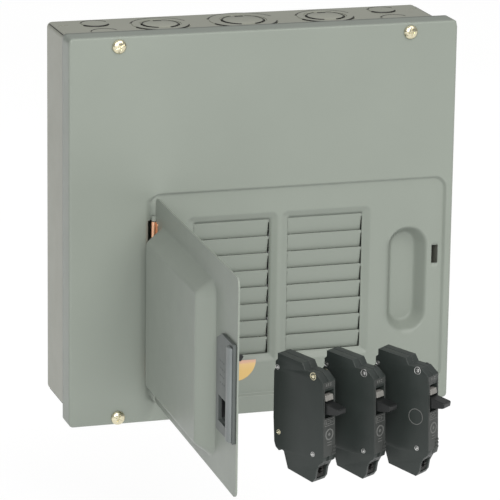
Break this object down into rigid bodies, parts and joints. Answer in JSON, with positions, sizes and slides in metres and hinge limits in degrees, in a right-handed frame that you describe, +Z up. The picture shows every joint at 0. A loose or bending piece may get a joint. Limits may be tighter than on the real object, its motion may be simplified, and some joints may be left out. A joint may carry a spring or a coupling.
{
  "type": "residential load center",
  "caption": "Wall-mounted steel load center with a screwed cover, a left-hinged door with a sliding latch, twistout rows, bus interior and loose plug-in breakers.",
  "frame": {"origin": "centre of the box's back face, on the wall", "axes": "+Z up, -Y out of the wall towards the person in front, +X to that person's right"},
  "size_m": [0.2911, 0.3431, 0.287],
  "materials": {
    "paint": "grey-green baked enamel, low gloss",
    "latch_plastic": "dark grey moulded plastic",
    "phenolic": "dark grey-green moulded thermoset",
    "black_plastic": "black moulded plastic",
    "zinc": "yellow zinc plate",
    "steel": "bright plated steel",
    "aluminium": "tin plated aluminium",
    "copper": "copper plated spring steel",
    "label": "plain yellow-orange vinyl label"
  },
  "bodies": {
    "root": {"bonding_strap": "copper", "box": "paint", "bus_bar_left": "aluminium", "bus_bar_right": "aluminium", "cover": "paint", "cover_screw_bottom_left": "zinc", "cover_screw_bottom_right": "zinc", "cover_screw_top_left": "zinc", "cover_screw_top_right": "zinc", "hinge_lower": "copper", "hinge_upper": "copper", "hook_rail_left": "steel", "hook_rail_right": "steel", "insulating_base": "black_plastic", "interior_pan": "steel", "interior_screw_lower": "zinc", "interior_screw_upper": "zinc", "main_lug_left": "aluminium", "main_lug_left_screw": "steel", "main_lug_right": "aluminium", "main_lug_right_screw": "steel", "neutral_bar": "aluminium", "neutral_lug": "aluminium", "neutral_lug_screw": "steel", "neutral_standoff_lower": "black_plastic", "neutral_standoff_upper": "black_plastic", "sticker": "label"},
    "door": {"door": "paint", "hinge_pin_upper": "steel", "hinge_pin_lower": "steel", "latch_housing": "latch_plastic"},
    "latch_slider": {"latch_slider": "black_plastic"},
    "breaker_1": {"breaker_1_case_left": "phenolic", "breaker_1_case_right": "phenolic", "breaker_1_line_clip": "copper", "breaker_1_load_terminal": "steel", "breaker_1_terminal_screw": "zinc"},
    "breaker_1_handle": {"breaker_1_handle": "black_plastic"},
    "breaker_2": {"breaker_2_case_left": "phenolic", "breaker_2_case_right": "phenolic", "breaker_2_line_clip": "copper", "breaker_2_load_terminal": "steel", "breaker_2_terminal_screw": "zinc"},
    "breaker_2_handle": {"breaker_2_handle": "black_plastic"},
    "breaker_3": {"breaker_3_case_left": "phenolic", "breaker_3_case_right": "phenolic", "breaker_3_line_clip": "copper", "breaker_3_load_terminal": "steel", "breaker_3_terminal_screw": "zinc"},
    "breaker_3_handle": {"breaker_3_handle": "black_plastic"}
  },
  "joints": [
    {"name": "door_swing", "type": "hinge", "parent": "root", "child": "door", "pos_m": [-0.07925, -0.0695, 0], "axis": [0, 0, 1], "range_deg": [-15, 91.5]},
    {"name": "latch_slide", "type": "slide", "parent": "door", "child": "latch_slider", "axis": [0, 0, 1], "range_m": [0, 0.003], "stiffness_N_per_m": 150, "springref_m": -0.002},
    {"name": "breaker_1_lift", "type": "slide", "parent": "root", "child": "breaker_1", "axis": [0, 0, 1], "range_m": [0, 0.1]},
    {"name": "breaker_1_toggle", "type": "hinge", "parent": "breaker_1", "child": "breaker_1_handle", "pos_m": [-0.03563, -0.32183, -0.05975], "axis": [0.8572, 0.515, 0], "range_deg": [-40, 0]},
    {"name": "breaker_2_lift", "type": "slide", "parent": "root", "child": "breaker_2", "axis": [0, 0, 1], "range_m": [0, 0.1]},
    {"name": "breaker_2_toggle", "type": "hinge", "parent": "breaker_2", "child": "breaker_2_handle", "pos_m": [-0.00114, -0.32341, -0.05975], "axis": [0.829, 0.5592, 0], "range_deg": [-40, 0]},
    {"name": "breaker_3_lift", "type": "slide", "parent": "root", "child": "breaker_3", "axis": [0, 0, 1], "range_m": [0, 0.1]},
    {"name": "breaker_3_toggle", "type": "hinge", "parent": "breaker_3", "child": "breaker_3_handle", "pos_m": [0.03479, -0.32678, -0.05975], "axis": [0.788, 0.6157, 0], "range_deg": [-40, 0]}
  ]
}
